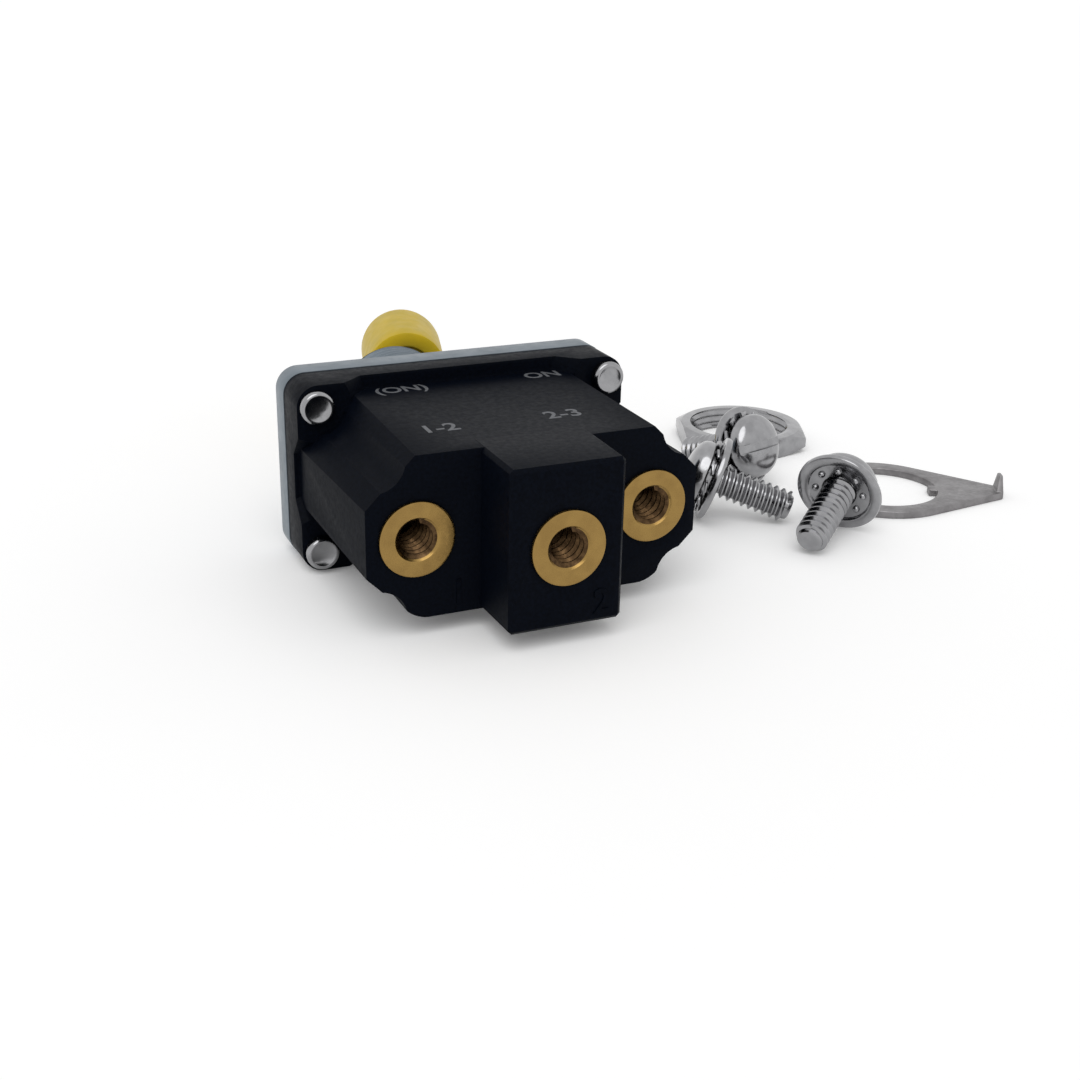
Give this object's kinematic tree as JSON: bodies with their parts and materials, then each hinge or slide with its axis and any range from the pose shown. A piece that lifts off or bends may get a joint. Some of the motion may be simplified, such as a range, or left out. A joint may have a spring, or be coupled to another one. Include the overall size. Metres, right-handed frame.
{
  "type": "toggle switch",
  "caption": "Sealed panel toggle switch with a threaded bushing, capped baton lever, riveted metal cover, moulded case and recessed screw terminals, with its loose fastening hardware.",
  "frame": {"origin": "middle of the mounting face, on the bushing's axis", "axes": "+Y out of the panel along the bushing, +X along the long side of the cover towards the maintained position, +Z across the cover"},
  "size_m": [0.0777, 0.0703, 0.0184],
  "materials": {
    "plated_steel": "satin",
    "dark_steel": "satin",
    "phenolic": "matte",
    "brass": "satin",
    "yellow_vinyl": "gloss",
    "rubber": "matte",
    "nylon": "matte",
    "contact_silver": "satin",
    "zinc_steel": "polished"
  },
  "bodies": {
    "switch": {"cover_plate": "plated_steel", "cover_gasket": "rubber", "case": "phenolic", "corner_rivets": "zinc_steel", "bushing": "plated_steel", "pivot_pin": "dark_steel", "lever_seal": "rubber", "fulcrum_bracket": "brass", "fulcrum_pin": "dark_steel", "fixed_contacts": "contact_silver", "strip_left": "brass", "strip_right": "brass", "terminal_1": "brass", "terminal_2": "brass", "terminal_3": "brass", "hex_nut": "zinc_steel", "keying_washer": "zinc_steel", "terminal_screws": "zinc_steel", "screw_lock_washers": "zinc_steel", "screw_cup_washers": "zinc_steel"},
    "lever_body": {"lever": "plated_steel", "lever_cap": "yellow_vinyl", "plunger_spring": "zinc_steel", "plunger": "nylon"},
    "rocker_body": {"contact_rocker": "brass", "moving_contacts": "contact_silver"}
  },
  "joints": [
    {"name": "lever_swing", "type": "hinge", "parent": "switch", "child": "lever_body", "pos_m": [0, 0.005, 0], "axis": [0, 0, 1], "range_deg": [0, 30], "stiffness_Nm_per_rad": 0.02, "springref_deg": -8.59, "deforming": ["lever_seal"]},
    {"name": "rocker_tilt", "type": "hinge", "parent": "switch", "child": "rocker_body", "pos_m": [0, -0.0103, 0], "axis": [0, 0, 1], "range_deg": [-12, 0]}
  ],
  "couplings": [
    {"joint": "rocker_tilt", "follows": "lever_swing", "ratio": -0.4}
  ]
}
